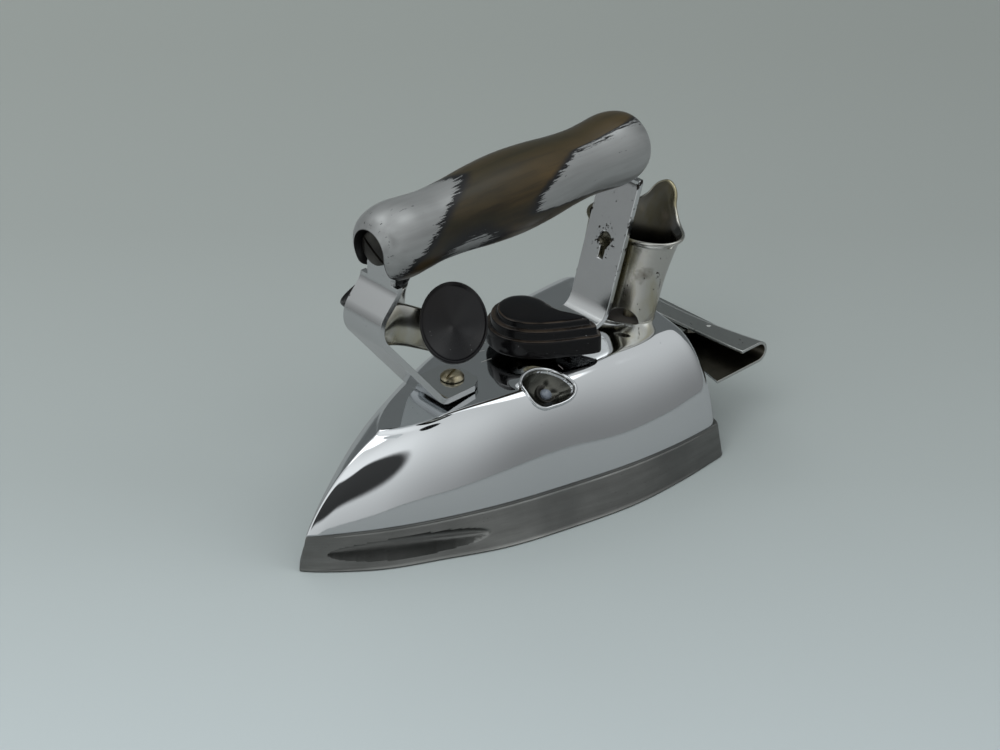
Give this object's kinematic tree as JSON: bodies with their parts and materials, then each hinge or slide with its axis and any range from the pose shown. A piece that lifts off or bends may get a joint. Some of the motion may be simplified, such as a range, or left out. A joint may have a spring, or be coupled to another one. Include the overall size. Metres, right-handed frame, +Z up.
{
  "type": "electric hand iron",
  "caption": "Electric hand iron with a turned wooden handle on bent straps, stepped heat dial, oval thumb rests, pilot lamp, plug guard and folding-sheet heel rest.",
  "frame": {"origin": "centre of the sole face, halfway between nose and heel", "axes": "+X from nose to heel, +Y to starboard, +Z up out of the sole towards the handle"},
  "size_m": [0.1919, 0.1024, 0.1278],
  "materials": {
    "sole_metal": "satin, worn",
    "chrome": "polished, with small specks",
    "worn_nickel": "dull and mottled",
    "painted_wood": "silver paint worn down to brown wood",
    "black_moulding": "glossy",
    "steel": "bare",
    "brass": "tarnished",
    "ceramic": "unglazed",
    "mica": "flaky sheet",
    "glass": "clear",
    "wire": "woven sleeve"
  },
  "bodies": {
    "body": {"sole_plate": "sole_metal", "heating_element": "steel", "mica_sheet": "mica", "clamp_plate": "steel", "front_post": "steel", "rear_post": "steel", "shell": "chrome", "pilot_lens": "glass", "pilot_bulb": "glass", "pilot_socket": "brass", "front_strap": "chrome", "rear_strap": "chrome", "front_foot_screw": "brass", "rear_foot_screw": "brass", "handle_grip": "painted_wood", "handle_front_screw": "steel", "handle_rear_screw": "steel", "thumb_rest_port": "black_moulding", "thumb_rest_starboard": "black_moulding", "thumb_rest_bracket": "worn_nickel", "spindle_bushing": "brass", "thermostat_bracket": "steel", "insulator_lower": "ceramic", "insulator_middle": "ceramic", "insulator_upper": "ceramic", "bimetal_blade": "steel", "spring_blade": "steel", "contact_lower": "brass", "contact_upper": "brass", "stack_screw": "steel", "plug_guard": "worn_nickel", "terminal_block": "ceramic", "terminal_pin_port": "brass", "terminal_pin_starboard": "brass", "bus_wire_port": "wire", "bus_wire_inlet": "wire", "bus_wire_element": "wire", "heel_rest": "chrome", "heel_bracket": "chrome", "heel_post_port": "steel", "heel_screw_port": "steel", "heel_rivet_port": "steel", "heel_post_starboard": "steel", "heel_screw_starboard": "steel", "heel_rivet_starboard": "steel"},
    "dial": {"dial_knob": "black_moulding", "dial_spindle": "brass"}
  },
  "joints": [
    {"name": "dial_turn", "type": "hinge", "parent": "body", "child": "dial", "pos_m": [0.027, 0, 0.05], "axis": [0, 0, 1], "range_deg": [-150, 0]}
  ]
}
